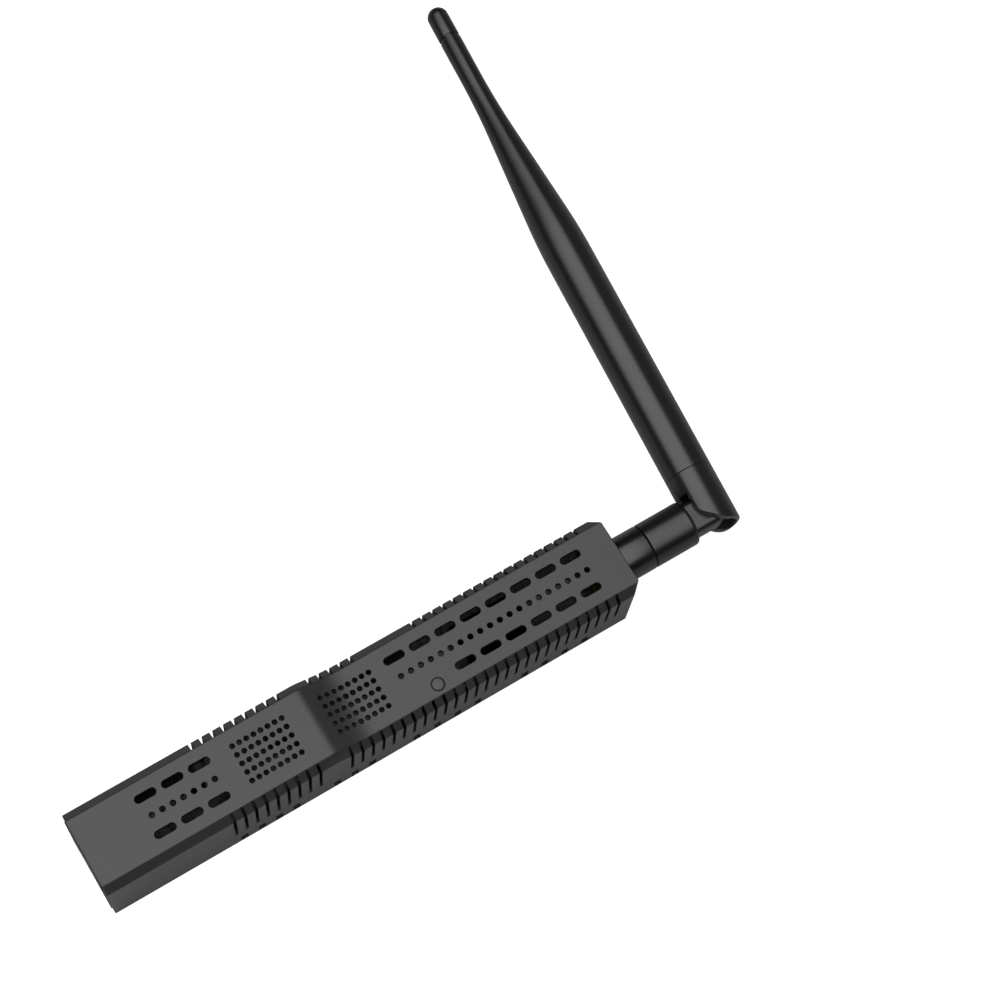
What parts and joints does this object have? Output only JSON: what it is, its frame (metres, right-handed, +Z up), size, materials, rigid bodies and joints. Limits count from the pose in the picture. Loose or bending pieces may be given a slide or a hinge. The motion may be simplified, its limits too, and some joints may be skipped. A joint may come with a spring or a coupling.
{
  "type": "usb radio stick",
  "caption": "Slim vented stick-shaped radio adapter with a stepped top, a small push-button, a recessed port at one end and a hinged swivelling rod antenna at the other",
  "frame": {"origin": "middle of the case's flat underside, on the surface that the stick rests on", "axes": "+X along the stick from the port end towards the antenna, +Y across the stick to the side that the antenna lies on, +Z up"},
  "size_m": [0.1629, 0.1433, 0.0223],
  "materials": {
    "case_plastic": "dark grey moulded plastic with a fine matt grain",
    "screw_steel": "zinc-plated steel",
    "dark_plastic": "near-black moulded plastic",
    "board_laminate": "glass-fibre laminate under dark green solder mask",
    "socket_steel": "tinned drawn steel",
    "chip_resin": "moulded black resin",
    "capacitor_resin": "moulded ochre resin",
    "chip_ceramic": "fired ceramic with tinned ends",
    "led_resin": "clear resin lens",
    "gold_brass": "gold-flashed turned brass",
    "white_insulator": "waxy white insulator",
    "black_metal": "satin black coating on turned brass",
    "antenna_plastic": "satin black moulded plastic",
    "antenna_rubber": "satin black thermoplastic rubber",
    "lead_jacket": "extruded jacket of a thin coaxial lead",
    "radiator_brass": "plain drawn brass"
  },
  "bodies": {
    "housing": {"top_cover": "case_plastic", "bottom_plate": "case_plastic", "case_screws": "screw_steel", "end_plate": "dark_plastic", "circuit_board": "board_laminate", "usb_socket_shell": "socket_steel", "usb_socket_core": "dark_plastic", "usb_bridge_chip": "chip_resin", "memory_chip": "chip_resin", "voltage_regulator": "chip_resin", "crystal": "socket_steel", "power_capacitors": "capacitor_resin", "chip_components": "chip_ceramic", "radio_module_board": "board_laminate", "shield_can": "socket_steel", "status_led": "led_resin", "switch_body": "dark_plastic", "antenna_jack": "gold_brass", "jack_insulator": "white_insulator", "jack_contact": "gold_brass", "coupling_nut": "black_metal", "plug_ferrule": "gold_brass", "plug_insulator": "white_insulator", "plug_pin": "gold_brass"},
    "button": {"button_cap": "case_plastic", "switch_plunger": "dark_plastic"},
    "swivel": {"swivel_barrel": "antenna_plastic", "swivel_clip": "screw_steel", "plug_lead": "lead_jacket"},
    "antenna": {"antenna_fork": "antenna_plastic", "antenna_sleeve": "antenna_rubber", "tip_cap": "antenna_plastic", "radiator_tube": "radiator_brass", "radiator_lead": "lead_jacket", "whip_bead": "white_insulator", "radiator_whip": "radiator_brass"}
  },
  "joints": [
    {"name": "button_press", "type": "slide", "parent": "housing", "child": "button", "axis": [0, 0, -1], "range_m": [0, 0.0003], "stiffness_N_per_m": 1200, "springref_m": -0.0004},
    {"name": "antenna_swivel", "type": "hinge", "parent": "housing", "child": "swivel", "pos_m": [0.0745, 0, 0.0103], "axis": [1, 0, 0], "continuous": true},
    {"name": "antenna_elbow", "type": "hinge", "parent": "swivel", "child": "antenna", "pos_m": [0.0853, 0, 0.0103], "axis": [0, 0.0483, 0.9988], "range_deg": [-84.45, 5.55]}
  ]
}
